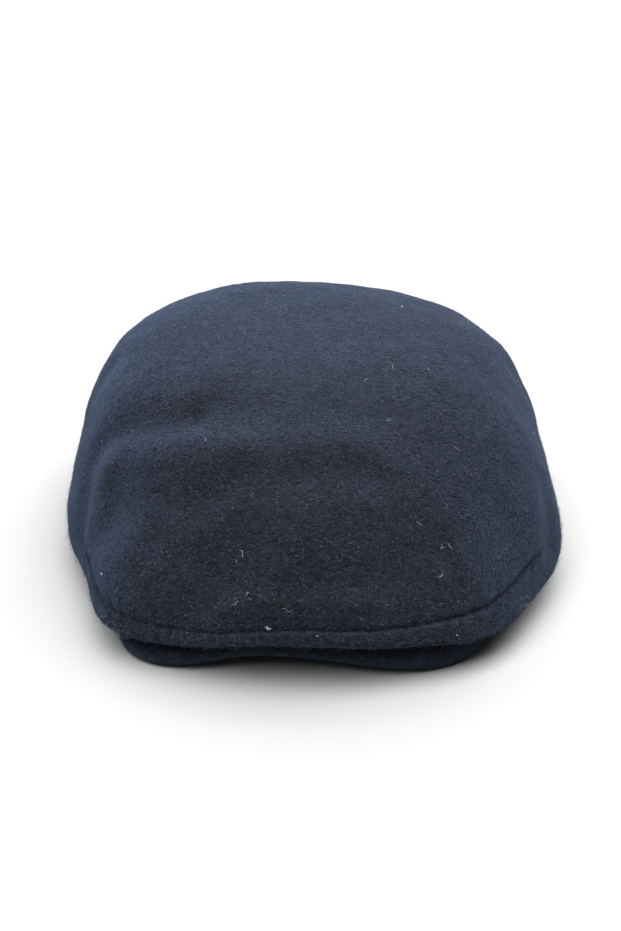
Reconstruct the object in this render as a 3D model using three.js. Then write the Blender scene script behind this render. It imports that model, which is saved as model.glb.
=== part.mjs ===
// A flat cap of dark wool as it rests on a table. Millimetres, +Z up, the peak towards -Y.
import * as THREE from 'three';

// Driving dimensions of the crown. Its pole is the highest point, and every cut starts there.
const pole = { x: -0.7, y: 13.6, z: 103 };
const cloth = 2.5;

// The crown in section. Each row is a cut from the pole down to the widest line, at a bearing in degrees:
// 0 is the front and 90 the +X side. reach is the plan distance of the widest line and wide its height,
// bulge and fall are the exponents of the cut's curve, larger and smaller ones making a squarer shoulder.
const sections = [
  { bearing: 0, reach: 153, wide: 27, bulge: 2.3, fall: 0.88 },
  { bearing: 20, reach: 154, wide: 22, bulge: 2.35, fall: 0.86 },
  { bearing: 36, reach: 157, wide: 17, bulge: 2.35, fall: 0.8 },
  { bearing: 50, reach: 147.5, wide: 16, bulge: 2.76, fall: 0.74 },
  { bearing: 66, reach: 139.3, wide: 18, bulge: 3.42, fall: 0.68 },
  { bearing: 85, reach: 124.7, wide: 20, bulge: 4.16, fall: 0.6 },
  { bearing: 110, reach: 121.9, wide: 26, bulge: 4.64, fall: 0.5 },
  { bearing: 145, reach: 126.7, wide: 31, bulge: 3.43, fall: 0.46 },
  { bearing: 180, reach: 125.8, wide: 34, bulge: 3.17, fall: 0.43 },
  { bearing: 215, reach: 129.9, wide: 32, bulge: 3.74, fall: 0.41 },
  { bearing: 250, reach: 126.8, wide: 26, bulge: 4.96, fall: 0.43 },
  { bearing: 275, reach: 127, wide: 20, bulge: 4.43, fall: 0.52 },
  { bearing: 294, reach: 134.6, wide: 16, bulge: 3.63, fall: 0.64 },
  { bearing: 310, reach: 141.5, wide: 17, bulge: 2.89, fall: 0.73 },
  { bearing: 324, reach: 158.5, wide: 15.5, bulge: 2.4, fall: 0.8 },
  { bearing: 340, reach: 155.5, wide: 18.5, bulge: 2.35, fall: 0.86 },
];

// Soft folds, each a straight ridge or hollow with a bell-shaped section. Their ends are given on the cloth
// laid flat round the pole, +X to the right and -Y to the front. height is negative for a hollow.
const folds = [
  { name: 'crown crease left', fromX: -108, fromY: -52, toX: -54, toY: -58, width: 9, height: -1.6 },
  { name: 'crown crease right', fromX: -54, fromY: -58, toX: 38, toY: -56, width: 10, height: -1.2 },
  { name: 'brow ridge left', fromX: -104, fromY: -70, toX: -37, toY: -81, width: 10, height: 1.4 },
  { name: 'brow ridge right', fromX: -37, fromY: -81, toX: 40, toY: -81, width: 10, height: 1 },
  { name: 'deep hollow', fromX: -98, fromY: -98, toX: -50, toY: -106, width: 13, height: -2.5 },
  { name: 'left front hollow', fromX: -108, fromY: -110, toX: -44, toY: -136, width: 16, height: -1.7 },
  { name: 'right front hollow', fromX: 92, fromY: -114, toX: 118, toY: -102, width: 12, height: -1.1 },
  { name: 'long hollow', fromX: -30, fromY: -97, toX: 34, toY: -94, width: 11, height: -1.2 },
  { name: 'right hollow', fromX: 74, fromY: -88, toX: 108, toY: -90, width: 10, height: -0.7 },
  { name: 'slanting hollow', fromX: 20, fromY: -156, toX: 70, toY: -126, width: 12, height: -1.9 },
  { name: 'front swell', fromX: -34, fromY: -161, toX: 42, toY: -159, width: 8, height: 2 },
  { name: 'hem pucker left', fromX: -36, fromY: -168, toX: 6, toY: -171, width: 5, height: -1 },
  { name: 'hem pucker right', fromX: 26, fromY: -168, toX: 58, toY: -159, width: 5, height: -0.9 },
  { name: 'left edge ridge', fromX: -110, fromY: -66, toX: -131, toY: -102, width: 10, height: 0.8 },
  { name: 'left edge hollow', fromX: -119, fromY: -54, toX: -140, toY: -94, width: 10, height: -2 },
  { name: 'right edge ridge', fromX: 126, fromY: -76, toX: 135, toY: -100, width: 9, height: 1 },
  { name: 'right edge hollow', fromX: 138, fromY: -56, toX: 147, toY: -84, width: 8, height: -1.6 },
  { name: 'left side drape', fromX: -146, fromY: -10, toX: -118, toY: 6, width: 12, height: -2.4 },
  { name: 'right side drape', fromX: 142, fromY: 14, toX: 116, toY: 22, width: 12, height: -2.2 },
  { name: 'back left drape', fromX: -96, fromY: 118, toX: -76, toY: 96, width: 12, height: -2.2 },
  { name: 'back right drape', fromX: 84, fromY: 120, toX: 66, toY: 98, width: 12, height: -2 },
  { name: 'back dent', fromX: -14, fromY: 132, toX: 12, toY: 128, width: 15, height: -2.4 },
];
// The folds start at this share of their height on the widest line and are whole this far up the cloth.
const foldStart = { share: 0.15, wholeAt: 8.5 };

// The peak is a stiff crescent. Its lip is half a superellipse in plan, squarer on the left, and its inner
// line follows the head opening. Its underside is arched between two feet, apex at archX. Its top falls less
// towards the feet: it keeps the shares levelLeft and levelRight of the arch's height, and the peak is that
// much thicker there. Behind the hem it climbs to the head.
const peak = {
  x: 0.6, halfWidth: 90.7, cornerY: -71, depth: 59.7, squareLeft: 5, squareRight: 3.2, innerSweep: 52,
  thick: 9.5, arch: 10.4, archX: -15, archLeft: 57, archRight: 100, levelLeft: 0.03, levelRight: 0.42,
  climb: 0.2, climbsFrom: 19, stations: 48,
};
const peakDepthSteps = [0, 0.12, 0.3, 0.5, 0.75, 1];
const peakLipTurns = [30, 60, 90, 120, 150];

// The head opening, which the turned-in rim follows at the sides and the back, flat on the table.
const opening = { x: -3.8, y: 17, halfWidth: 87, halfLength: 104 };
// The front hem is turned under and lies over the peak, a gap above it. Between two bearings it narrows
// down to the opening, and past the peak's ends, between two more, it comes down to the table.
const hem = { tuck: 13, gap: 1.2, lowersFrom: 51, lowersTo: 60, narrowsFrom: 36, narrowsTo: 66 };
// The topstitched groove above the front edge. It climbs up the cloth and dies out towards its two ends.
const groove = {
  above: 6, climbLeft: 3.5, climbRight: 10.5, climbsFrom: 5, climbsTo: 52, width: 1.7, depth: 1.3,
  endsFrom: 51, endsTo: 60,
};
// The rim's turned-in edge: a flat foot, then a rounded inner side.
const rim = { foot: 5, nose: 1.2, noseHeight: 2, thick: 4.2 };

// How finely the crown is cut: degrees between cuts at the front and the back, and rings up the cloth from
// the widest line in millimetres, then in shares of what is left to the pole.
const frontHalf = 75;
const frontStep = 2.5;
const backStep = 5;
const outerRings = [2.5, 4.6, 6, 7.4, 11, 16, 22, 29, 37, 45, 53, 62, 70, 79, 88, 98, 108];
const innerRings = [6, 18, 38, 62, 88, 108];
const outerShares = [0.25, 0.5, 0.75];
const innerShares = [0.5];
const underTurns = [18, 36, 54, 72, 90];
// The rings near the groove move up with it, and those this far above it stay level.
const ringsLevelAbove = 50;
const cutPoints = 80;
const cutLengthSteps = 400;

const crownColor = 0x232b3c;
const peakColor = 0x1b212f;
const woolRoughness = 0.95;

const clamp01 = (value) => Math.min(1, Math.max(0, value));
const smooth = (value) => clamp01(value) ** 2 * (3 - 2 * clamp01(value));
const between = (value, from, to) => smooth((value - from) / (to - from));
const radians = (degrees) => degrees * Math.PI / 180;
// How far a bearing is from the front, 0 to 180.
const fromFront = (bearing) => Math.abs((bearing + 180) % 360 - 180);

// The section at any bearing, by a smooth cubic through the rows, which close on themselves.
function sectionAt(bearing) {
  const count = sections.length;
  const row = (index) => sections[(index + count) % count];
  const turnOf = (index) => row(index).bearing + 360 * Math.floor(index / count);
  const first = sections.findLastIndex((section) => section.bearing <= bearing);
  const span = turnOf(first + 1) - turnOf(first);
  const t = (bearing - turnOf(first)) / span;
  const slope = (index, key) =>
    (row(index + 1)[key] - row(index - 1)[key]) / (turnOf(index + 1) - turnOf(index - 1));
  const blend = (key) =>
    (2 * t ** 3 - 3 * t ** 2 + 1) * row(first)[key]
    + (t ** 3 - 2 * t ** 2 + t) * span * slope(first, key)
    + (3 * t ** 2 - 2 * t ** 3) * row(first + 1)[key]
    + (t ** 3 - t ** 2) * span * slope(first + 1, key);
  return { reach: blend('reach'), wide: blend('wide'), bulge: blend('bulge'), fall: blend('fall') };
}

// A point at a plan distance from the pole along a bearing.
function onBearing(bearing, r, z) {
  const angle = radians(bearing);
  return new THREE.Vector3(pole.x + r * Math.sin(angle), pole.y - r * Math.cos(angle), z);
}

// Plan distance from the pole to the opening's ellipse along a bearing.
function openingReach(bearing) {
  const dx = Math.sin(radians(bearing)) / opening.halfWidth;
  const dy = -Math.cos(radians(bearing)) / opening.halfLength;
  const px = (pole.x - opening.x) / opening.halfWidth;
  const py = (pole.y - opening.y) / opening.halfLength;
  const a = dx * dx + dy * dy;
  const b = px * dx + py * dy;
  const c = px * px + py * py - 1;
  return (Math.sqrt(b * b - a * c) - b) / a;
}

// Height of the peak's underside across the peak, before it climbs to the head.
function peakArch(x) {
  const half = x < peak.archX ? peak.archLeft : peak.archRight;
  return peak.arch * (1 - smooth(Math.abs(x - peak.archX) / half));
}

// The peak's thickness across the peak.
function peakThick(x) {
  const level = x < peak.archX ? peak.levelLeft : peak.levelRight;
  return peak.thick + level * (peak.arch - peakArch(x));
}

// Height of the crown's rim: a gap above the peak in front, and on the table past the peak's ends.
function rimHeight(bearing, r) {
  const { x } = onBearing(bearing, r, 0);
  const overPeak = peakArch(x) + peakThick(x) + hem.gap;
  return overPeak * (1 - between(fromFront(bearing), hem.lowersFrom, hem.lowersTo));
}

// One cut through the crown as a curve from the pole to the widest line, and the rim that it ends in.
function cutAt(bearing) {
  const { reach, wide, bulge, fall } = sectionAt(bearing);
  const points = [];
  for (let i = 0; i <= cutPoints; i += 1) {
    const level = (1 - i / cutPoints) ** 2;
    const r = reach * (1 - level) ** (1 / bulge);
    points.push(new THREE.Vector2(r, wide + (pole.z - wide) * level ** fall));
  }
  const curve = new THREE.SplineCurve(points);
  curve.arcLengthDivisions = cutLengthSteps;
  const narrow = between(fromFront(bearing), hem.narrowsFrom, hem.narrowsTo);
  const rimReach = (1 - narrow) * (reach - hem.tuck) + narrow * openingReach(bearing);
  return { bearing, reach, wide, curve, length: curve.getLength(), rimReach };
}

// Where the groove runs, up the cloth from the widest line.
function grooveLine(bearing) {
  const climb = bearing > 180 ? groove.climbLeft : groove.climbRight;
  return groove.above + climb * between(fromFront(bearing), groove.climbsFrom, groove.climbsTo);
}

// A ring's distance up the cloth at a bearing, moved up with the groove.
function ringDistance(bearing, distance) {
  const line = grooveLine(bearing);
  if (distance <= groove.above) return distance * line / groove.above;
  return distance + (line - groove.above) * (1 - smooth((distance - groove.above) / ringsLevelAbove));
}

// A point of the plain crown, some way up the cloth from the widest line.
function above(cut, distance) {
  const { x: r, y: z } = cut.curve.getPointAt(clamp01(1 - distance / cut.length));
  return { place: onBearing(cut.bearing, r, z), along: cut.length - distance, up: distance };
}

// A point under the widest line, where the cloth turns in to the rim by a quarter of an ellipse.
function under(cut, turn) {
  const inward = (cut.reach - cut.rimReach) * (1 - Math.cos(radians(turn)));
  const drop = cut.wide - rimHeight(cut.bearing, cut.rimReach);
  const z = cut.wide - drop * Math.sin(radians(turn));
  return { place: onBearing(cut.bearing, cut.reach - inward, z), along: cut.length + inward, up: -inward };
}

// How far the folds lift or sink the cloth at a flat-laid point.
function foldHeight(x, y) {
  let height = 0;
  for (const fold of folds) {
    const runX = fold.toX - fold.fromX;
    const runY = fold.toY - fold.fromY;
    const t = clamp01(((x - fold.fromX) * runX + (y - fold.fromY) * runY) / (runX ** 2 + runY ** 2));
    const away = Math.hypot(x - fold.fromX - t * runX, y - fold.fromY - t * runY);
    height += fold.height * Math.exp(-((away / fold.width) ** 2));
  }
  return height;
}

// Depth of the stitched groove at a bearing and a distance up the cloth.
function grooveDepth(bearing, up) {
  const strength = 1 - between(fromFront(bearing), groove.endsFrom, groove.endsTo);
  return groove.depth * strength * Math.exp(-(((up - grooveLine(bearing)) / groove.width) ** 2));
}

// The bearings of the cuts, close together round the front and wider apart behind.
function cutBearings() {
  const bearings = [];
  let bearing = 0;
  while (bearing < 360) {
    bearings.push(bearing);
    const inFront = bearing < frontHalf || bearing >= 360 - frontHalf;
    bearing += inFront ? frontStep : backStep;
  }
  return bearings;
}

const cuts = cutBearings().map(cutAt);

// Rings of sample points on the plain crown, from near the pole to the widest line and under it to the rim.
function ringsOf(distances, shares) {
  const top = distances[distances.length - 1];
  const share = (part) => cuts.map((cut) => above(cut, top + part * (cut.length - top)));
  const level = (distance) => cuts.map((cut) => above(cut, ringDistance(cut.bearing, distance)));
  return [
    ...[...shares].reverse().map(share),
    ...[...distances].reverse().map(level),
    cuts.map((cut) => above(cut, 0)),
    ...underTurns.map((turn) => cuts.map((cut) => under(cut, turn))),
  ];
}

// The outward direction at each sample, square to its neighbours along and across the rings.
function normalsOf(rings) {
  return rings.map((ring, k) => ring.map((sample, i) => {
    const near = rings[Math.max(0, k - 1)][i].place;
    const far = rings[Math.min(rings.length - 1, k + 1)][i].place;
    const left = ring[(i + ring.length - 1) % ring.length].place;
    const right = ring[(i + 1) % ring.length].place;
    const down = new THREE.Vector3().subVectors(far, near);
    const across = new THREE.Vector3().subVectors(right, left);
    return down.cross(across).normalize();
  }));
}

// Moves each sample out along its own direction by the folds, the groove and an even offset.
function shaped(rings, offset, grooved) {
  const normals = normalsOf(rings);
  return rings.map((ring, k) => ring.map((sample, i) => {
    const angle = radians(cuts[i].bearing);
    const flatX = sample.along * Math.sin(angle);
    const flatY = -sample.along * Math.cos(angle);
    const sunk = grooved ? grooveDepth(cuts[i].bearing, sample.up) : 0;
    const kept = clamp01(foldStart.share + (1 - foldStart.share) * sample.up / foldStart.wholeAt);
    const out = foldHeight(flatX, flatY) * kept - sunk + offset;
    return sample.place.clone().addScaledVector(normals[k][i], out);
  }));
}

// Closes a stack of rings between two end points into one body, faces outwards.
function closedStack(start, rings, end) {
  const places = [start, ...rings.flat(), end];
  const count = rings[0].length;
  const last = places.length - 1;
  const at = (ring, i) => 1 + ring * count + i % count;
  const faces = [];
  for (let i = 0; i < count; i += 1) {
    faces.push(0, at(0, i), at(0, i + 1));
    for (let ring = 0; ring + 1 < rings.length; ring += 1) {
      faces.push(at(ring, i), at(ring + 1, i), at(ring + 1, i + 1));
      faces.push(at(ring, i), at(ring + 1, i + 1), at(ring, i + 1));
    }
    faces.push(last, at(rings.length - 1, i + 1), at(rings.length - 1, i));
  }
  const geometry = new THREE.BufferGeometry();
  geometry.setAttribute('position', new THREE.Float32BufferAttribute(places.flatMap((p) => p.toArray()), 3));
  geometry.setIndex(faces);
  geometry.computeVertexNormals();
  return geometry;
}

// The crown: outer cloth down to the rim, the rim's foot and rounded side, then the inner cloth up again.
function crownGeometry() {
  const outer = shaped(ringsOf(outerRings, outerShares), 0, true);
  const rimRing = (inward, up) => cuts.map(({ bearing, rimReach }) =>
    onBearing(bearing, rimReach - inward, rimHeight(bearing, rimReach - inward) + up));
  const foot = rimRing(rim.foot, 0);
  const nose = rimRing(rim.foot + rim.nose, rim.noseHeight);
  const lip = rimRing(rim.foot, rim.thick);
  const inner = shaped(ringsOf(innerRings, innerShares), -cloth, false).slice(0, -1).reverse();
  const top = new THREE.Vector3(pole.x, pole.y, pole.z);
  const ceiling = new THREE.Vector3(pole.x, pole.y, pole.z - cloth);
  return closedStack(top, [...outer, foot, nose, lip, ...inner], ceiling);
}

// One station of the peak's section, between its tips at 1 and -1: top, rounded lip, underside.
function peakSection(share) {
  const outerAngle = radians(90 * share);
  const innerAngle = radians(peak.innerSweep * share);
  const power = 2 / (share < 0 ? peak.squareLeft : peak.squareRight);
  const lip = new THREE.Vector2(
    peak.x + peak.halfWidth * Math.sign(share) * Math.abs(Math.sin(outerAngle)) ** power,
    peak.cornerY - peak.depth * Math.cos(outerAngle) ** power,
  );
  const back = new THREE.Vector2(
    opening.x + opening.halfWidth * Math.sin(innerAngle),
    opening.y - opening.halfLength * Math.cos(innerAngle),
  );
  const inward = new THREE.Vector2().subVectors(back, lip);
  const depth = inward.length();
  inward.normalize();
  const half = peak.thick / 2;
  const climb = peak.climb * (1 - share ** 2);
  const place = (distance, level) => {
    const x = lip.x + inward.x * distance;
    const y = lip.y + inward.y * distance;
    const climbed = climb * Math.max(0, distance - peak.climbsFrom);
    return new THREE.Vector3(x, y, peakArch(x) + climbed + peakThick(x) * (1 + level) / 2);
  };
  const flat = peakDepthSteps.map((step) => half + step * (depth - half));
  return [
    ...[...flat].reverse().map((distance) => place(distance, 1)),
    ...peakLipTurns.map(radians).map((turn) => place(half - half * Math.sin(turn), Math.cos(turn))),
    ...flat.map((distance) => place(distance, -1)),
  ];
}

// The peak: its sections in order from the +X tip to the -X tip, closed at both ends.
function peakGeometry() {
  const shares = Array.from({ length: peak.stations + 1 }, (_, i) => 1 - 2 * i / peak.stations);
  const loops = shares.map((share) => peakSection(share));
  const middle = (loop) => loop.reduce((sum, p) => sum.add(p), new THREE.Vector3()).divideScalar(loop.length);
  return closedStack(middle(loops[0]), loops, middle(loops[loops.length - 1]));
}

function piece(name, geometry, color) {
  const wool = new THREE.MeshStandardMaterial({ color, roughness: woolRoughness, metalness: 0 });
  const mesh = new THREE.Mesh(geometry, wool);
  mesh.name = name;
  return mesh;
}

const cap = new THREE.Group();
cap.add(piece('crown', crownGeometry(), crownColor));
cap.add(piece('peak', peakGeometry(), peakColor));

export default cap;
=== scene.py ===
import math
import bpy
import numpy as np
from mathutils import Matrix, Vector


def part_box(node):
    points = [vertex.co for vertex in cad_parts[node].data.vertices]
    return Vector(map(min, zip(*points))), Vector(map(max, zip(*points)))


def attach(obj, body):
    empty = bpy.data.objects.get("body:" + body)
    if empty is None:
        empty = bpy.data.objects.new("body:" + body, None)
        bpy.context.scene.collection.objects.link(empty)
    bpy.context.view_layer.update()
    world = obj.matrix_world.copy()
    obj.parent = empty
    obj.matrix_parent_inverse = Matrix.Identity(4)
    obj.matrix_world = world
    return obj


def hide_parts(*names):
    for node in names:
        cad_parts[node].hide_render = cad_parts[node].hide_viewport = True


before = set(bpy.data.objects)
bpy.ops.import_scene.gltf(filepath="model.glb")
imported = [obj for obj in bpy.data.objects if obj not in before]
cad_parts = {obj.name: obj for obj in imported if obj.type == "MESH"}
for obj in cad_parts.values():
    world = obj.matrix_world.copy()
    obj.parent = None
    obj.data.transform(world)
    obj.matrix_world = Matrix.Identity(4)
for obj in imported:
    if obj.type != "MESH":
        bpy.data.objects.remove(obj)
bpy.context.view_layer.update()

# A soft navy wool flat cap lying on a pale table, its peak towards the camera.
# Lengths in the cap's dictionaries are millimetres, and its meshes are made in metres. The lamps, the
# floor and the camera are in metres.
mm = 0.001
tiny = 1e-9                             # keeps a length of nothing from dividing by nought
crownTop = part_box("crown")[1].z / mm


# Keeps numbers between 0 and 1
def clamp01(value):
    return np.clip(value, 0, 1)


# S-curve from 0 to 1: three times the square less twice the cube
def smooth(value):
    return clamp01(value) ** 2 * (3 - 2 * clamp01(value))


# 0 below low and 1 above high, with the s-curve from one to the other
def between(value, low, high):
    return smooth((value - low) / (high - low))


# Mesh from points and lists of faces, each list with one number of corners
def makePiece(name, points, faceLists, material):
    mesh = bpy.data.meshes.new(name)
    corners = np.concatenate([faces.ravel() for faces in faceLists]).astype(np.int32)
    sizes = np.concatenate([np.full(len(faces), faces.shape[1]) for faces in faceLists])
    starts = np.concatenate([[0], np.cumsum(sizes)[:-1]]).astype(np.int32)
    mesh.vertices.add(len(points))
    mesh.vertices.foreach_set("co", (points * mm).astype(np.float32).ravel())
    mesh.loops.add(len(corners))
    mesh.loops.foreach_set("vertex_index", corners)
    mesh.polygons.add(len(starts))
    mesh.polygons.foreach_set("loop_start", starts)
    mesh.polygons.foreach_set("use_smooth", np.ones(len(starts), bool))
    mesh.update(calc_edges=True)
    mesh.materials.append(material)
    piece = bpy.data.objects.new(name, mesh)
    bpy.context.scene.collection.objects.link(piece)
    print("made", name, len(points), "points", len(corners) - 2 * len(starts), "triangles")
    return piece


# Skin over a grid that closes round its columns; one point closes each end
def closedSkin(name, start, rings, end, material):
    rows, columns = rings.shape[:2]
    here = 1 + np.arange(rows * columns).reshape(rows, columns)
    beside = np.roll(here, -1, axis=1)
    last = rows * columns + 1
    sides = np.stack([here[:-1], here[1:], beside[1:], beside[:-1]], -1).reshape(-1, 4)
    first = np.stack([np.zeros(columns, int), here[0], beside[0]], -1)
    final = np.stack([np.full(columns, last), beside[-1], here[-1]], -1)
    points = np.concatenate([[start], rings.reshape(-1, 3), [end]])
    return makePiece(name, points, [sides, first, final], material)


# Outward direction at each grid point: the step down the rows crossed with the step round the ring
def gridNormals(points):
    down = np.gradient(points, axis=0)
    across = np.roll(points, -1, axis=1) - np.roll(points, 1, axis=1)
    normal = np.cross(down, across)
    return normal / np.linalg.norm(normal, axis=-1, keepdims=True)


# Shader maths: Wire is one output socket, and sums written with it add Math nodes
class Wire:
    def __init__(self, finish, socket):
        self.finish = finish
        self.socket = socket

    def math(self, operation, first, second):
        return self.finish.add("ShaderNodeMath", {"operation": operation}, {0: first, 1: second})

    def __add__(self, other):
        return self.math("ADD", self, other)

    def __radd__(self, other):
        return self.math("ADD", other, self)

    def __sub__(self, other):
        return self.math("SUBTRACT", self, other)

    def __rsub__(self, other):
        return self.math("SUBTRACT", other, self)

    def __mul__(self, other):
        return self.math("MULTIPLY", self, other)

    def __rmul__(self, other):
        return self.math("MULTIPLY", other, self)


# One material; add() makes any node from its type, its settings and its sockets' values or links,
# and returns the output that is asked for by number or name
class Finish:
    def __init__(self, name):
        self.material = bpy.data.materials.new(name)
        self.material.use_nodes = True
        self.tree = self.material.node_tree
        self.tree.nodes.clear()

    def add(self, kind, settings, sockets, out=0):
        node = self.tree.nodes.new(kind)
        for key, value in settings.items():
            if key == "stops":
                ramp = node.color_ramp.elements
                for place, color in value[len(ramp):]:
                    ramp.new(place)
                for element, (place, color) in zip(ramp, value):
                    element.position = place
                    element.color = (*color, 1)
            else:
                setattr(node, key, value)
        for key, value in sockets.items():
            if isinstance(value, Wire):
                self.tree.links.new(value.socket, node.inputs[key])
            else:
                node.inputs[key].default_value = value
        return Wire(self, node.outputs[out])

    def noise(self, where, scale, detail=2.0, rough=0.5, warp=0.0):
        sockets = {"Vector": where, "Scale": scale, "Detail": detail, "Roughness": rough, "Distortion": warp}
        return self.add("ShaderNodeTexNoise", {}, sockets)

    # 1 at low and 0 at high, with an s-curve between them
    def band(self, value, low, high):
        settings = {"interpolation_type": "SMOOTHSTEP", "clamp": True}
        return self.add("ShaderNodeMapRange", settings, {0: value, 1: low, 2: high, 3: 1.0, 4: 0.0})

    # Colours are the Mix node's sockets 6 and 7 and its output 2
    def mix(self, amount, first, second, blend="MIX"):
        settings = {"data_type": "RGBA", "blend_type": blend}
        return self.add("ShaderNodeMix", settings, {0: amount, 6: first, 7: second}, 2)

    def close(self, sockets):
        shader = self.add("ShaderNodeBsdfPrincipled", {}, sockets)
        output = self.tree.nodes.new("ShaderNodeOutputMaterial")
        self.tree.links.new(shader.socket, output.inputs["Surface"])
        return self.material


# Fulled wool: slow clouding, curly hairs drawn where a warped noise crosses a level, and a matching relief;
# the pits are painted shade, near black in the low hollows between the tufts.
# A noise is its scale, detail, roughness and warp. Each curl has a turn, a noise scale, its share of the
# colour, its share of the relief and its hair's colour.
woolLook = {
    "ground": (0.0014, 0.0017, 0.0048),
    "violet": (0.0062, 0.0018, 0.0052),
    "teal": (0.0005, 0.0042, 0.0052),
    "paleHair": (0.036, 0.041, 0.066),
    "warmHair": (0.034, 0.018, 0.025),
    # painted shade: near black where the tufts sit low in the relief
    "pitShade": (0.0003, 0.0003, 0.0006),
    "stretch": (0.5, 1.0, 1.0),         # the nap lies a little across the cap
    "cloud": (22, 3.0, 0.55), "cloudLow": 0.72, "cloudSpan": 0.56,
    "tuft": (620, 5.0, 0.68, 0.5), "tuftRelief": 0.9, "pitShadeBand": (0.39, 0.53),
    "violetNoise": (400, 3.0, 0.6), "tealNoise": (450, 3.0, 0.6, 0.4), "hueBand": (0.50, 0.40),
    "curls": [
        (0.0, 400, 0.56, 0.35, "paleHair"),
        (0.9, 520, 0.40, 0.30, "paleHair"),
        (2.1, 640, 0.32, 0.25, "warmHair"),
    ],
    "curlTilt": (1.0, 0.7, 1.3), "curlNoise": (1.5, 0.5, 1.6), "curlWidth": 0.045,
    "bumpDepth": 0.0008,
    "smoothest": 0.86, "roughSpan": 0.14,
    "specular": 0.18,
    "sheen": 0.25, "sheenRoughness": 0.33,
    "sheenTint": (0.28, 0.49, 0.94),
}


# The ground is mixed with violet, teal, the painted pit shade and curls, and multiplied by the clouding. The
# relief is the sum of the tufts and the curls; the painted pit shade lies where the tufts are low.
def woolFinish(name, paintedShade, relief):
    finish = Finish(name)
    where = finish.add("ShaderNodeTexCoord", {}, {}, "Object")
    where = finish.add("ShaderNodeMapping", {}, {"Vector": where, "Scale": woolLook["stretch"]})
    cloud = finish.noise(where, *woolLook["cloud"])
    tuft = finish.noise(where, *woolLook["tuft"])
    violet = finish.band(finish.noise(where, *woolLook["violetNoise"]), *woolLook["hueBand"])
    teal = finish.band(finish.noise(where, *woolLook["tealNoise"]), *woolLook["hueBand"])

    # every colour times the painted shade factor; below 1 it paints a darker, shaded copy of the wool
    def shaded(key):
        return (*(tone * paintedShade for tone in woolLook[key]), 1)

    color = finish.mix(teal, finish.mix(violet, shaded("violet"), shaded("ground")), shaded("teal"))
    # painted shade in the low hollows between the tufts, where the relief is lowest
    color = finish.mix(finish.band(tuft, *woolLook["pitShadeBand"]), color, shaded("pitShade"))
    height = tuft * woolLook["tuftRelief"]
    for turn, scale, share, rise, hair in woolLook["curls"]:
        rotation = [turn * tilt for tilt in woolLook["curlTilt"]]
        turned = finish.add("ShaderNodeMapping", {}, {"Vector": where, "Rotation": rotation})
        field = finish.noise(turned, scale, *woolLook["curlNoise"]) - 0.5
        away = finish.add("ShaderNodeMath", {"operation": "ABSOLUTE"}, {0: field})
        curl = finish.band(away, 0.0, woolLook["curlWidth"])
        color = finish.mix(curl * share, color, shaded(hair))
        height = height + curl * rise
    tone = woolLook["cloudLow"] + cloud * woolLook["cloudSpan"]
    clouding = finish.add("ShaderNodeCombineColor", {}, {0: tone, 1: tone, 2: tone})
    bumpSockets = {"Strength": relief, "Distance": woolLook["bumpDepth"], "Height": height}
    return finish.close({
        "Base Color": finish.mix(1.0, color, clouding, "MULTIPLY"),
        "Roughness": woolLook["smoothest"] + tuft * woolLook["roughSpan"],
        "Normal": finish.add("ShaderNodeBump", {}, bumpSockets),
        "Specular IOR Level": woolLook["specular"],
        "Sheen Weight": woolLook["sheen"],
        "Sheen Roughness": woolLook["sheenRoughness"],
        "Sheen Tint": (*woolLook["sheenTint"], 1),
    })


# Loose hairs: one tone that drifts over the cap, darker and paler by the spread
hairLook = {
    "driftScale": 120, "dark": 0.35, "pale": 0.65,
    "roughness": 0.8, "specular": 0.2, "sheen": 0.2, "sheenTint": (0.6, 0.75, 1.0),
}


# A ramp over one slow noise, from the colour times 1 less the spread to the colour times 1 plus the spread
def hairFinish(name, color, spread):
    finish = Finish(name)
    where = finish.add("ShaderNodeTexCoord", {}, {}, "Object")
    drift = finish.noise(where, hairLook["driftScale"], 2.0)
    dark = tuple(tone * (1 - spread) for tone in color)
    pale = tuple(tone * (1 + spread) for tone in color)
    stops = {"stops": [(hairLook["dark"], dark), (hairLook["pale"], pale)]}
    return finish.close({
        "Base Color": finish.add("ShaderNodeValToRGB", stops, {0: drift}),
        "Roughness": hairLook["roughness"],
        "Specular IOR Level": hairLook["specular"],
        "Sheen Weight": hairLook["sheen"],
        "Sheen Tint": (*hairLook["sheenTint"], 1),
    })


# The crown: a cut from the pole to the widest line at each bearing, 0 at the front and 90 at the right side
crown = {
    "pole": (-0.7, 13.6, crownTop),
    "cloth": 2.5,
    "opening": {"x": -3.8, "y": 17.0, "halfWidth": 87.0, "halfLength": 104.0},
    "tuck": 13.0,                       # how far the front hem turns under
    "gap": 1.2,                         # hem over peak
    "lowers": (51, 60),                 # bearings between which the rim comes down to the table
    "narrows": (36, 66),                # and between which it draws in to the opening
    "foldStart": (0.15, 8.5),           # folds' share on the widest line, and where they are whole
    "frontHalf": 75, "frontColumns": 358, "backColumns": 162,
    "cutSteps": 260,
    "settles": 50,                      # how far above the groove the rings stop following it
}
# Bearing, the widest line's distance from the pole and its height, and the exponents bulge and fall
crownSections = np.array([
    (0, 153, 27, 2.3, 0.88),
    (20, 154, 22, 2.35, 0.86),
    (36, 157, 17, 2.35, 0.8),
    (50, 147.5, 16, 2.76, 0.74),
    (66, 139.3, 18, 3.42, 0.68),
    (85, 124.7, 20, 4.16, 0.6),
    (110, 121.9, 26, 4.64, 0.5),
    (145, 126.7, 31, 3.43, 0.46),
    (180, 125.8, 34, 3.17, 0.43),
    (215, 129.9, 32, 3.74, 0.41),
    (250, 126.8, 26, 4.96, 0.43),
    (275, 127, 20, 4.43, 0.52),
    (294, 134.6, 16, 3.63, 0.64),
    (310, 141.5, 17, 2.89, 0.73),
    (324, 158.5, 15.5, 2.4, 0.8),
    (340, 155.5, 18.5, 2.35, 0.86),
])
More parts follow.
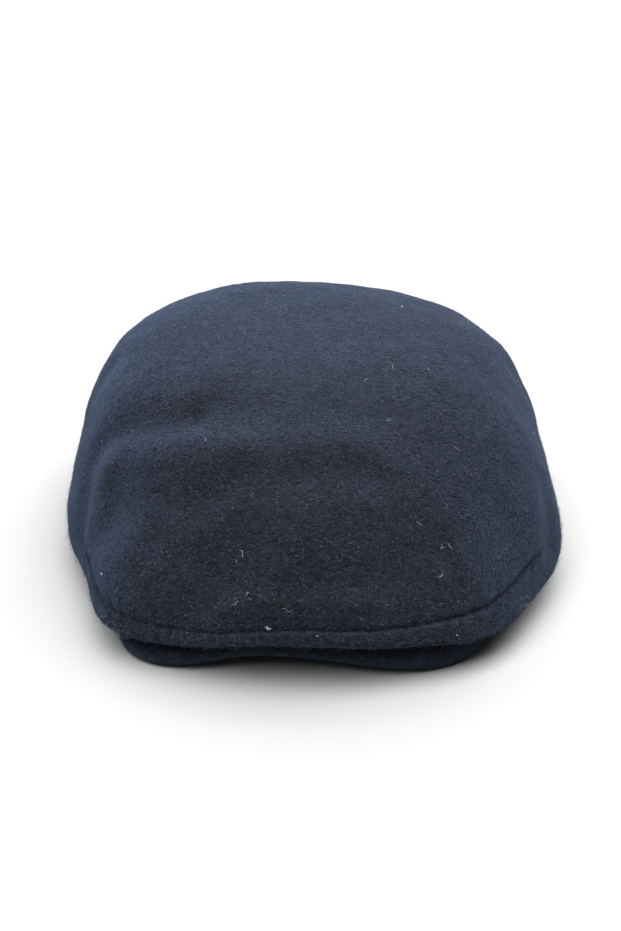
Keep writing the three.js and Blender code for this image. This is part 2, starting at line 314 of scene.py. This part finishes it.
# Soft folds on the cloth laid flat round the pole, front at -y: from x, y to x, y, width, height
folds = {
    "crown crease left": (-108, -52, -54, -58, 9, -1.6),
    "crown crease right": (-54, -58, 38, -56, 10, -1.2),
    "brow ridge left": (-104, -70, -37, -81, 10, 1.4),
    "brow ridge right": (-37, -81, 40, -81, 10, 1.0),
    "deep hollow": (-98, -98, -50, -106, 13, -2.5),
    "left front hollow": (-108, -110, -44, -136, 16, -1.7),
    "right front hollow": (92, -114, 118, -102, 12, -1.1),
    "long hollow": (-30, -97, 34, -94, 11, -1.2),
    "right hollow": (74, -88, 108, -90, 10, -0.7),
    "slanting hollow": (20, -156, 70, -126, 12, -1.9),
    "front swell": (-34, -161, 42, -159, 8, 2.0),
    "hem pucker left": (-36, -168, 6, -171, 5, -1.0),
    "hem pucker right": (26, -168, 58, -159, 5, -0.9),
    "left edge ridge": (-110, -66, -131, -102, 10, 0.8),
    "left edge hollow": (-119, -54, -140, -94, 10, -2.0),
    "right edge ridge": (126, -76, 135, -100, 9, 1.0),
    "right edge hollow": (138, -56, 147, -84, 8, -1.6),
    "left shoulder": (-111, -78, -118, -116, 13, 1.8),
    "right shoulder": (117, -84, 124, -112, 12, 1.2),
    "left side drape": (-146, -10, -118, 6, 12, -2.4),
    "right side drape": (142, 14, 116, 22, 12, -2.2),
    "back left drape": (-96, 118, -76, 96, 12, -2.2),
    "back right drape": (84, 120, 66, 98, 12, -2),
    "back dent": (-14, 132, 12, 128, 15, -2.4),
}
# The topstitched groove over the front hem, and the small puckers that its thread draws in
groove = {
    "above": 6.0, "climbLeft": 3.5, "climbRight": 10.5, "climbs": (5, 52), "ends": (51, 60),
    "width": 1.4, "depth": 1.7,
    "puckerWaves": (8.5, 12.0, 19.0), "puckerShift": 1.7, "puckerDepth": 0.2, "puckerSpread": 6.0,
    "stitch": 4.2, "stitchDip": 0.15, "backing": 1.8, "backingSpread": 6.0,
}
# Small unevenness of the cloth: waves of these lengths in any direction, deeper as they are longer,
# with this share of it left on the widest line and all of it farther up
cloth = {
    "waves": 26, "lengths": (12.0, 42.0), "depthPerLength": 0.0028, "seed": 11,
    "edgeShare": 0.3, "wholeOver": 10.0,
}
# The peak: half a superellipse in plan, arched between two feet, climbing to the head behind the hem
peak = {
    "x": 0.6, "halfWidth": 90.7, "cornerY": -71.0, "depth": 59.7, "squareLeft": 5.0, "squareRight": 3.2,
    "innerSweep": 52.0, "thick": 9.5, "arch": 10.4, "archX": -15.0, "archLeft": 57.0, "archRight": 100.0,
    "levelLeft": 0.03, "levelRight": 0.42, "climb": 0.2, "climbsFrom": 19.0,
    "stations": 300, "lipSteps": 15,
    "across": (0, 0.06, 0.12, 0.2, 0.3, 0.4, 0.5, 0.62, 0.75, 0.87, 1),
    "uneven": 0.21, "wavesFrom": 300.0, "flatBelow": 0.6,
}


# Degrees away from the front, the same to the left and the right
def fromFront(bearing):
    return np.abs((bearing + 180) % 360 - 180)


# Rows of the sections table blended by a cubic that closes on itself
def sectionsAt(bearing):
    angles = np.concatenate([crownSections[-2:, 0] - 360, crownSections[:, 0], crownSections[:3, 0] + 360])
    values = np.concatenate([crownSections[-2:, 1:], crownSections[:, 1:], crownSections[:3, 1:]])
    slopes = np.zeros_like(values)
    slopes[1:-1] = (values[2:] - values[:-2]) / (angles[2:] - angles[:-2])[:, None]
    row = np.searchsorted(angles, bearing, side="right") - 1
    span = (angles[row + 1] - angles[row])[:, None]
    t = (bearing - angles[row])[:, None] / span
    blend = (2 * t**3 - 3 * t**2 + 1) * values[row] + (t**3 - 2 * t**2 + t) * span * slopes[row]
    blend += (3 * t**2 - 2 * t**3) * values[row + 1] + (t**3 - t**2) * span * slopes[row + 1]
    return blend.T


# Points at distance r from the pole in plan, along the bearing, at height z
def onBearing(bearing, r, z):
    angle = np.radians(bearing)
    x = crown["pole"][0] + r * np.sin(angle)
    y = crown["pole"][1] - r * np.cos(angle)
    return np.stack([x, y, z + 0 * r], -1)


# Distance from the pole to the opening's ellipse, where a ray along the bearing meets it
def openingReach(bearing):
    ring = crown["opening"]
    angle = np.radians(bearing)
    dx, dy = np.sin(angle) / ring["halfWidth"], -np.cos(angle) / ring["halfLength"]
    px = (crown["pole"][0] - ring["x"]) / ring["halfWidth"]
    py = (crown["pole"][1] - ring["y"]) / ring["halfLength"]
    a, b, c = dx * dx + dy * dy, px * dx + py * dy, px * px + py * py - 1
    return (np.sqrt(b * b - a * c) - b) / a


# Height of the peak's underside across the peak
def peakArch(x):
    half = np.where(x < peak["archX"], peak["archLeft"], peak["archRight"])
    return peak["arch"] * (1 - smooth(np.abs(x - peak["archX"]) / half))


# The peak's thickness: its top arches less than its underside, so it is thicker over its feet
def peakThick(x):
    level = np.where(x < peak["archX"], peak["levelLeft"], peak["levelRight"])
    return peak["thick"] + level * (peak["arch"] - peakArch(x))


# Height of the crown's rim: over the peak in front, on the table past its ends
def rimHeight(bearing, r):
    x = onBearing(bearing, r, 0)[..., 0]
    overPeak = peakArch(x) + peakThick(x) + crown["gap"]
    return overPeak * (1 - between(fromFront(bearing), *crown["lowers"]))


# How far up the cloth from the widest line the groove runs
def grooveLine(bearing):
    climb = np.where(bearing > 180, groove["climbLeft"], groove["climbRight"])
    return groove["above"] + climb * between(fromFront(bearing), *groove["climbs"])


# Each fold lifts the cloth by a bell of the distance to its line
def foldHeight(x, y):
    height = np.zeros_like(x)
    for fromX, fromY, toX, toY, width, lift in folds.values():
        runX, runY = toX - fromX, toY - fromY
        t = clamp01(((x - fromX) * runX + (y - fromY) * runY) / (runX**2 + runY**2))
        away = np.hypot(x - fromX - t * runX, y - fromY - t * runY)
        height += lift * np.exp(-((away / width) ** 2))
    return height


# Sum of plane sine waves through space, at random angles and phases
def unevenness(points):
    waveDice = np.random.default_rng(cloth["seed"])
    height = np.zeros(points.shape[:-1])
    for length in np.geomspace(*cloth["lengths"], cloth["waves"]):
        heading = waveDice.normal(size=3)
        heading /= np.linalg.norm(heading)
        phase = waveDice.uniform(0, 2 * np.pi)
        height += cloth["depthPerLength"] * length * np.sin(points @ heading * 2 * np.pi / length + phase)
    return height


# Groove with a dip at each stitch, and puckers that fan out above and below it
def grooveRelief(bearing, up, along):
    strength = 1 - between(fromFront(bearing), *groove["ends"])
    off = up - grooveLine(bearing)
    arc = np.radians((bearing + 180) % 360 - 180) * along
    dip = 1 + groove["stitchDip"] * np.cos(2 * np.pi * arc / groove["stitch"])
    trench = groove["depth"] * dip * np.exp(-((off / groove["width"]) ** 2))
    shift = groove["puckerShift"]
    puckers = sum(np.sin(2 * np.pi * arc / wave + shift * k) for k, wave in enumerate(groove["puckerWaves"]))
    fan = np.exp(-((off / groove["puckerSpread"]) ** 2))
    return strength * (groove["puckerDepth"] * puckers * fan - trench)


# Bearings of the columns, close together round the front
front = np.linspace(-crown["frontHalf"], crown["frontHalf"], crown["frontColumns"], False)
back = np.linspace(crown["frontHalf"], 360 - crown["frontHalf"], crown["backColumns"], False)
bearings = np.concatenate([front, back]) % 360
reach, wide, bulge, fall = sectionsAt(bearings)
narrow = between(fromFront(bearings), *crown["narrows"])
rimReach = (1 - narrow) * (reach - crown["tuck"]) + narrow * openingReach(bearings)

# Every cut's curve, from the pole, where level is 1, to the widest line, where it is 0:
# r = reach (1 - level)^(1 / bulge), z = wide + (top - wide) level^fall
level = (1 - np.linspace(0, 1, crown["cutSteps"])[:, None]) ** 2
cutR = reach * (1 - level) ** (1 / bulge)
cutZ = wide + (crownTop - wide) * level**fall
cutStride = np.hypot(np.diff(cutR, axis=0), np.diff(cutZ, axis=0))
cutRun = np.concatenate([np.zeros((1, len(bearings))), np.cumsum(cutStride, 0)])
cutLength = cutRun[-1]


# Points of the plain crown at given distances up the cloth, a row of distances for each ring, read off
# the cuts' curves by their length
def aboveRings(up):
    run = cutLength - up
    r = np.stack([np.interp(run[:, i], cutRun[:, i], cutR[:, i]) for i in range(len(bearings))], 1)
    z = np.stack([np.interp(run[:, i], cutRun[:, i], cutZ[:, i]) for i in range(len(bearings))], 1)
    return onBearing(bearings, r, z), up, run


# Points under the widest line, a quarter of an ellipse in to the rim
def underRings(turns):
    turn = np.radians(turns)[:, None]
    inward = (reach - rimReach) * (1 - np.cos(turn))
    z = wide - (wide - rimHeight(bearings, rimReach)) * np.sin(turn)
    return onBearing(bearings, reach - inward, z), -inward, cutLength + inward


# All rings from near the pole to the rim. Those next to the groove follow it, so that it is cut cleanly.
def crownRings(steps, shares, turns):
    line = grooveLine(bearings)
    steps = np.asarray(steps)[::-1, None]
    low = steps * line / groove["above"]
    high = steps + (line - groove["above"]) * (1 - smooth((steps - groove["above"]) / crown["settles"]))
    up = np.where(steps <= groove["above"], low, high)
    shares = np.asarray(shares)[::-1, None]
    farther = up[0] + shares * (cutLength - up[0])
    parts = [aboveRings(np.concatenate([farther, up])), underRings(turns)]
    return [np.concatenate(rows) for rows in zip(*parts)]


# Moves the plain rings out along their own direction, by folds, unevenness and offset; the outer skin
# gets the groove, and the inner one gives way behind it
def shapedRings(rings, offset, outside):
    points, up, along = rings
    angle = np.radians(bearings)
    share, whole = crown["foldStart"]
    kept = clamp01(share + (1 - share) * up / whole)
    out = foldHeight(along * np.sin(angle), -along * np.cos(angle)) * kept + offset
    out = out + unevenness(points) * clamp01(cloth["edgeShare"] + up / cloth["wholeOver"])
    if outside:
        out = out + grooveRelief(bearings, up, along)
    else:
        off = (up - grooveLine(bearings)) / groove["backingSpread"]
        out = out - groove["backing"] * np.exp(-(off**2))
    return points + gridNormals(points) * out[..., None]


# The peak's copy of the wool is painted a tenth darker: painted shade under the crown's overhanging hem.
woolCrown = woolFinish("crown_wool_cloth", paintedShade=1.0, relief=0.8)
woolPeak = woolFinish("peak_wool_painted_shade", paintedShade=0.9, relief=0.7)

# Where the rings lie. Spans are millimetres up the cloth from the widest line, each with its number of
# rings, closest at the groove; shares go on from there to the pole; turns are degrees under the widest line.
ringPlan = {
    "outerSpans": [(0, 4, 5), (4, 8.4, 11), (8.4, 30, 18), (30, 108, 39)],
    "outerLast": 108,
    "nearPole": 0.02, "outerShares": 26,
    "outerTurns": (90, 22),
    "innerSteps": [3, 6, 9, 12, 15, 19, 23, 28, 33, 38, 44, 50, 56, 62, 70, 79, 88, 98, 108],
    "innerShares": [0.15, 0.3, 0.45, 0.6, 0.75, 0.88, 0.96],
    "innerTurns": (80, 9),
}
outerSpans = [np.linspace(low, high, count, False) for low, high, count in ringPlan["outerSpans"]]
outerSteps = np.concatenate([*outerSpans, [ringPlan["outerLast"]]])
outerShares = 1 - np.geomspace(ringPlan["nearPole"], 1, ringPlan["outerShares"])[-2::-1]
plain = crownRings(outerSteps, outerShares, np.linspace(0, *ringPlan["outerTurns"])[1:])
plainUp, plainAlong = plain[1:]
outer = shapedRings(plain, 0.0, True)
outerNormals = gridNormals(outer)

# The turned-in rim: a flat foot, then a rounded inner side, then the inner cloth up to the ceiling
rimProfile = {"foot": (1.5, 3.4), "middle": 3.8, "nose": 1.6, "back": 3.0, "thick": 4.2, "steps": 9}
turnIn = np.radians(np.linspace(-90, 90, rimProfile["steps"]))
nose = rimProfile["middle"] + rimProfile["nose"] * np.cos(turnIn)
noseHeights = rimProfile["thick"] / 2 * (1 + np.sin(turnIn))
inwards = np.concatenate([rimProfile["foot"], nose, [rimProfile["back"]]])
heights = np.concatenate([[0, 0], noseHeights, [rimProfile["thick"]]])
edge = np.stack([
    onBearing(bearings, rimReach - inward, rimHeight(bearings, rimReach - inward) + height)
    for inward, height in zip(inwards, heights)
])
innerTurns = np.linspace(0, *ringPlan["innerTurns"])[1:]
innerPlain = crownRings(ringPlan["innerSteps"], ringPlan["innerShares"], innerTurns)
inner = shapedRings(innerPlain, -crown["cloth"], False)[::-1]
poleX, poleY = crown["pole"][:2]
poleOutside, poleInside = (poleX, poleY, crownTop), (poleX, poleY, crownTop - crown["cloth"])
crownSkin = np.concatenate([outer, edge, inner])
crownPiece = closedSkin("crown_cloth", poleOutside, crownSkin, poleInside, woolCrown)
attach(crownPiece, "root")
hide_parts("crown")
print("crown shaped")


# The peak's section at each station between its tips: top, rounded lip, underside. The lip's line is a
# superellipse and the inner edge lies on the opening's ellipse, with straight lines between them.
def peakRings():
    share = np.linspace(1, -1, peak["stations"] + 1)[:, None]
    outerAngle, innerAngle = np.radians(90 * share), np.radians(peak["innerSweep"] * share)
    power = 2 / np.where(share < 0, peak["squareLeft"], peak["squareRight"])
    lipX = peak["x"] + peak["halfWidth"] * np.sign(share) * np.abs(np.sin(outerAngle)) ** power
    lipY = peak["cornerY"] - peak["depth"] * clamp01(np.cos(outerAngle)) ** power
    ring = crown["opening"]
    backX = ring["x"] + ring["halfWidth"] * np.sin(innerAngle)
    backY = ring["y"] - ring["halfLength"] * np.cos(innerAngle)
    depth = np.hypot(backX - lipX, backY - lipY)
    half = peak["thick"] / 2
    flat = half + np.array(peak["across"]) * (depth - half)
    turn = np.radians(np.linspace(0, 180, peak["lipSteps"])[1:-1])
    lip = half - half * np.sin(turn) + 0 * share
    distance = np.concatenate([flat[:, ::-1], lip, flat], 1)
    lift = np.concatenate([1 + 0 * flat, np.cos(turn) + 0 * share, -1 + 0 * flat], 1)
    x = lipX + (backX - lipX) / depth * distance
    y = lipY + (backY - lipY) / depth * distance
    climbed = peak["climb"] * (1 - share**2) * np.maximum(0, distance - peak["climbsFrom"])
    return np.stack([x, y, peakArch(x) + climbed + peakThick(x) / 2 * (1 + lift)], -1)


# The unevenness is taken from another place of the waves than the crown's, and left out at the feet
plainPeak = peakRings()
peakOut = unevenness(plainPeak + peak["wavesFrom"]) * peak["uneven"]
peakOut = np.where(plainPeak[..., 2] < peak["flatBelow"], 0.0, peakOut)
peakGrid = plainPeak + gridNormals(plainPeak) * peakOut[..., None]
peakPiece = closedSkin("peak_cloth", peakGrid[0].mean(0), peakGrid, peakGrid[-1].mean(0), woolPeak)
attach(peakPiece, "root")
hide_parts("peak")
print("peak shaped")


# Tubes with pointed ends along many paths at once: paths is count x points x 3, side vectors likewise
def tubes(name, paths, across, radius, sides, material):
    count, steps = paths.shape[:2]
    heading = np.gradient(paths, axis=1)
    heading /= np.linalg.norm(heading, axis=-1, keepdims=True) + tiny
    upward = np.cross(across, heading)
    upward /= np.linalg.norm(upward, axis=-1, keepdims=True) + tiny
    sideways = np.cross(heading, upward)
    angle = np.linspace(0, 2 * np.pi, sides, endpoint=False)[:, None]
    spoke = np.cos(angle) * sideways[:, 1:-1, None] + np.sin(angle) * upward[:, 1:-1, None]
    rings = paths[:, 1:-1, None] + radius[:, 1:-1, None, None] * spoke
    rings = rings.reshape(count, -1, 3)
    points = np.concatenate([paths[:, :1], rings, paths[:, -1:]], 1)
    each = points.shape[1]
    here = 1 + np.arange((steps - 2) * sides).reshape(steps - 2, sides)
    beside = np.roll(here, -1, axis=1)
    quads = np.stack([here[:-1], beside[:-1], beside[1:], here[1:]], -1).reshape(-1, 4)
    first = np.stack([np.zeros(sides, int), beside[0], here[0]], -1)
    final = np.stack([np.full(sides, each - 1), here[-1], beside[-1]], -1)
    shift = (np.arange(count) * each)[:, None, None]
    faceLists = [(faces + shift).reshape(-1, faces.shape[1]) for faces in (quads, first, final)]
    return makePiece(name, points.reshape(-1, 3), faceLists, material)


# Random places on a grid, as many to each face as its area times its weight asks
def scatter(points, count, weight):
    normals = gridNormals(points)
    nextPoints = np.roll(points, -1, axis=1)
    area = np.linalg.norm(np.cross(points[1:] - points[:-1], nextPoints[:-1] - points[:-1]), axis=-1)
    chance = (area * weight[:-1]).ravel()
    face = dice.choice(len(chance), count, p=chance / chance.sum())
    row, column = np.divmod(face, points.shape[1])
    a, b = dice.random((2, count, 1))
    beside = (column + 1) % points.shape[1]

    def blended(grid):                  # the face's four corners, weighted by how near each is
        near = grid[row, column] * (1 - b) + grid[row, beside] * b
        far = grid[row + 1, column] * (1 - b) + grid[row + 1, beside] * b
        return near * (1 - a) + far * a

    normal = blended(normals)
    return blended(points), normal / np.linalg.norm(normal, axis=-1, keepdims=True)


# What all loose hairs share: the wave beside the steady curl, how much of an arch each makes,
# how their thickness varies from hair to hair and falls towards the ends
hairForm = {
    "waveShare": 0.4, "waves": 1.5, "arch": (0.45, 1.0),
    "thickness": (0.7, 1.3), "taper": 0.6, "sides": 3, "seed": 5,
}
dice = np.random.default_rng(hairForm["seed"])


# Curled hairs: each sets off in a random direction along the cloth, turns steadily with a wave,
# and arches off it. style says their length, curl, lift, how deep they start, radius, colour and points.
def hairs(name, base, normal, style):
    count = len(base)
    steps = style["steps"]
    t = np.linspace(0, 1, steps)
    aside = np.cross(normal, dice.normal(size=(count, 3)))
    aside /= np.linalg.norm(aside, axis=-1, keepdims=True)
    ahead = np.cross(aside, normal)
    length = dice.uniform(*style["length"], (count, 1))
    curl = dice.normal(0, style["curl"], (count, 1))
    wave = dice.normal(0, style["curl"] * hairForm["waveShare"], (count, 1))
    phase = dice.uniform(0, 2 * np.pi, (count, 1))
    angle = curl * t + wave * np.sin(2 * np.pi * hairForm["waves"] * t + phase)
    stride = length / (steps - 1)
    along = np.cumsum(np.cos(angle), 1) * stride
    off = np.cumsum(np.sin(angle), 1) * stride
    rise = dice.uniform(*style["lift"], (count, 1))
    lift = rise * np.sin(np.pi * t * dice.uniform(*hairForm["arch"], (count, 1)))
    paths = base[:, None] + ahead[:, None] * along[..., None] + aside[:, None] * off[..., None]
    paths = paths + normal[:, None] * (lift - style["sunk"])[..., None]
    radius = style["radius"] * dice.uniform(*hairForm["thickness"], (count, 1))
    radius = radius * (1 - hairForm["taper"] * (2 * t - 1) ** 2)
    across = np.broadcast_to(normal[:, None], paths.shape)
    finish = hairFinish(name, style["color"], style["spread"])
    piece = tubes(name, paths, across, radius, hairForm["sides"], finish)
    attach(piece, "root")
    return piece


everywhere = np.ones(outer.shape[:2])
napStyles = {
    "crown_nap_blue": {
        "count": 15000, "color": (0.011, 0.018, 0.042), "spread": 0.35,
        "length": (1.0, 2.8), "curl": 2.0, "lift": (0.1, 0.5), "sunk": 0.05, "radius": 0.05, "steps": 4,
    },
    "crown_nap_grey": {
        "count": 12500, "color": (0.044, 0.049, 0.068), "spread": 0.35,
        "length": (0.9, 2.4), "curl": 2.2, "lift": (0.1, 0.55), "sunk": 0.04, "radius": 0.048, "steps": 4,
    },
    "crown_nap_brown": {
        "count": 8000, "color": (0.021, 0.015, 0.020), "spread": 0.35,
        "length": (0.9, 2.4), "curl": 2.2, "lift": (0.1, 0.5), "sunk": 0.05, "radius": 0.048, "steps": 4,
    },
}
for name, style in napStyles.items():
    base, normal = scatter(outer, style["count"], everywhere)
    piece = hairs(name, base, normal, style)
print("nap laid")

# The thread in the groove: short dark stitches along the ring that follows it
stitching = {
    "length": 2.9, "radius": 0.24, "sunk": 0.1, "bearings": 58,
    "color": (0.0030, 0.0034, 0.0056), "spread": 0.2, "steps": 9, "sides": 6,
}
seamRow = np.argmin(np.abs(plainUp[:, 0] - grooveLine(bearings)[0]))
seamColumns = fromFront(bearings) < stitching["bearings"]
seam = (outer - outerNormals * stitching["sunk"])[seamRow, seamColumns]
seamUp = outerNormals[seamRow, seamColumns]
seamRun = np.concatenate([[0], np.cumsum(np.linalg.norm(np.diff(seam, axis=0), axis=1))])
pitch = groove["stitch"]
middles = np.arange(pitch, seamRun[-1] - pitch, pitch)
spots = middles[:, None] + stitching["length"] * np.linspace(-0.5, 0.5, stitching["steps"])
threads = np.stack([np.interp(spots, seamRun, seam[:, axis]) for axis in range(3)], -1)
threadUp = np.stack([np.interp(spots, seamRun, seamUp[:, axis]) for axis in range(3)], -1)
threadRadius = stitching["radius"] * np.ones(spots.shape)
threadFinish = hairFinish("hem_thread", stitching["color"], stitching["spread"])
stitches = tubes("hem_stitches", threads, threadUp, threadRadius, stitching["sides"], threadFinish)
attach(stitches, "root")

# Pale lint caught on the nap, at points of the flat-laid cloth
lint = {
    "white_curl": {
        "spots": [(-15, -171), (-14, -172), (-14, -171)], "color": (0.60, 0.61, 0.62), "spread": 0.1,
        "length": (3.0, 4.5), "curl": 2.6, "lift": (0.6, 1.4), "sunk": -0.7, "radius": 0.13, "steps": 12,
    },
    "pale_curls": {
        "spots": [
            (38, -57), (78, -68), (27, -31), (44, -26), (58, -113), (76, -122), (-32, -140), (-30, -157),
            (-28, -155), (74, -134), (-49, -75), (-8, -162), (12, -174), (-31, -138), (76, -120),
        ],
        "color": (0.42, 0.43, 0.45), "spread": 0.1,
        "length": (3.0, 6.5), "curl": 1.9, "lift": (0.4, 1.1), "sunk": -0.1, "radius": 0.09, "steps": 12,
    },
    "white_flecks": {
        "spots": [(58, -20), (44, 46), (-112, -128), (89, -161)], "color": (0.66, 0.67, 0.68), "spread": 0.1,
        "length": (0.9, 1.2), "curl": 0.5, "lift": (0.1, 0.2), "sunk": -0.15, "radius": 0.26, "steps": 6,
    },
    "straw_fleck": {
        "spots": [(125, -24)], "color": (0.42, 0.36, 0.16), "spread": 0.1,
        "length": (0.9, 1.2), "curl": 0.5, "lift": (0.1, 0.2), "sunk": -0.1, "radius": 0.24, "steps": 6,
    },
}
flatX = plainAlong * np.sin(np.radians(bearings))
flatY = -plainAlong * np.cos(np.radians(bearings))
for name, style in lint.items():
    picks = [np.argmin((flatX - x) ** 2 + (flatY - y) ** 2) for x, y in style["spots"]]
    base, normal = outer.reshape(-1, 3)[picks], outerNormals.reshape(-1, 3)[picks]
    piece = hairs(name, base, normal, style)

# Short pale fibres all over the crown
scattered = {
    "count": 4800, "color": (0.15, 0.155, 0.18), "spread": 0.5,
    "length": (0.7, 2.8), "curl": 1.9, "lift": (0.2, 0.8), "sunk": 0.0, "radius": 0.058, "steps": 7,
}
base, normal = scatter(outer, scattered["count"], everywhere)
piece = hairs("pale_fibres", base, normal, scattered)

# Fuzzy tufts at the hem's two corners, thinning out by a bell of the distance to each spot
tufts = {
    "spots": [(-109, -161), (133, -133)], "reach": 6.0, "count": 110,
    "color": (0.20, 0.23, 0.27), "spread": 0.5,
    "length": (2.0, 6.5), "curl": 2.6, "lift": (0.6, 2.6), "sunk": 0.0, "radius": 0.075, "steps": 8,
}
tuftSquares = [(flatX - x) ** 2 + (flatY - y) ** 2 for x, y in tufts["spots"]]
nearCorners = sum(np.exp(-square / tufts["reach"] ** 2) for square in tuftSquares)
base, normal = scatter(outer, tufts["count"], nearCorners)
piece = hairs("corner_tufts", base, normal, tufts)
print("thread, lint and tufts laid")

# Longer fuzz that stands off the hem and the rim: most of it middle mm up the cloth, none below lowest
rimFuzz = {
    "count": 5200, "color": (0.017, 0.022, 0.036), "spread": 0.3, "middle": 4, "band": 9, "lowest": -12,
    "length": (1.8, 4.6), "curl": 2.4, "lift": (0.4, 1.6), "sunk": 0.05, "radius": 0.04, "steps": 6,
}
nearRim = np.exp(-(((plainUp - rimFuzz["middle"]) / rimFuzz["band"]) ** 2)) * (plainUp > rimFuzz["lowest"])
base, normal = scatter(outer, rimFuzz["count"], nearRim)
fuzzPiece = hairs("rim_fuzz", base, normal, rimFuzz)

# And off the peak's lip, on these points of each section
peakFuzz = {
    "count": 2600, "color": (0.020, 0.025, 0.040), "spread": 0.3, "fromPoint": 6, "toPoint": 25,
    "length": (1.4, 3.8), "curl": 2.4, "lift": (0.2, 1.0), "sunk": 0.05, "radius": 0.042, "steps": 5,
}
sectionPoint = np.arange(peakGrid.shape[1]) * np.ones(peakGrid.shape[:2])
nearLip = (sectionPoint >= peakFuzz["fromPoint"]) & (sectionPoint <= peakFuzz["toPoint"])
base, normal = scatter(peakGrid, peakFuzz["count"], nearLip)
peakFuzzPiece = hairs("peak_nap", base, normal, peakFuzz)
print("fuzz laid")

# Floor, lights and camera
floorLook = {"color": (0.385, 0.385, 0.388), "half": 12.0, "roughness": 0.7, "specular": 0.2}
floorFinish = Finish("pale_floor")
floorMaterial = floorFinish.close({
    "Base Color": (*floorLook["color"], 1),
    "Roughness": floorLook["roughness"],
    "Specular IOR Level": floorLook["specular"],
})
half = floorLook["half"] / mm
floorPoints = np.array([(-half, -half, 0), (half, -half, 0), (half, half, 0), (-half, half, 0)], float)
floor = makePiece("floor", floorPoints, [np.array([[0, 1, 2, 3]])], floorMaterial)

lamps = {
    "overhead": {"place": (0.08, -0.1, 1.4), "aim": (0.0, 0.0, 0.0), "size": (3.4, 1.1), "power": 76.0},
    "behind": {"place": (0.0, 1.2, 1.0), "aim": (0.0, 0.05, 0.05), "size": (3.2, 1.0), "power": 49.0},
}
for name, lamp in lamps.items():
    data = bpy.data.lights.new(name, "AREA")
    data.shape = "RECTANGLE"
    data.size, data.size_y = lamp["size"]
    data.energy = lamp["power"]
    light = bpy.data.objects.new(name, data)
    bpy.context.scene.collection.objects.link(light)
    light.location = lamp["place"]
    toward = Vector(lamp["aim"]) - Vector(lamp["place"])
    light.rotation_euler = toward.to_track_quat("-Z", "Y").to_euler()

roomLook = {"color": (0.97, 0.985, 1.0), "strength": 0.075}
room = bpy.data.worlds.new("soft_room")
room.use_nodes = True
room.node_tree.nodes["Background"].inputs["Color"].default_value = (*roomLook["color"], 1)
room.node_tree.nodes["Background"].inputs["Strength"].default_value = roomLook["strength"]
bpy.context.scene.world = room
bpy.context.scene.view_settings.view_transform = "Standard"

view = {
    "elevation": 32.0, "azimuth": 3.4, "distance": 0.95, "target": (-0.0011, -0.018, 0.048),
    "lens": 72.0, "sensor": 36.0,
}
elevation, azimuth = math.radians(view["elevation"]), math.radians(view["azimuth"])
backward = Vector((
    math.sin(azimuth) * math.cos(elevation), -math.cos(azimuth) * math.cos(elevation), math.sin(elevation),
))
cameraData = bpy.data.cameras.new("camera")
cameraData.lens = view["lens"]
cameraData.sensor_width = view["sensor"]
camera = bpy.data.objects.new("camera", cameraData)
bpy.context.scene.collection.objects.link(camera)
camera.location = Vector(view["target"]) + backward * view["distance"]
camera.rotation_euler = (-backward).to_track_quat("-Z", "Y").to_euler()
bpy.context.scene.camera = camera
print("stage set")
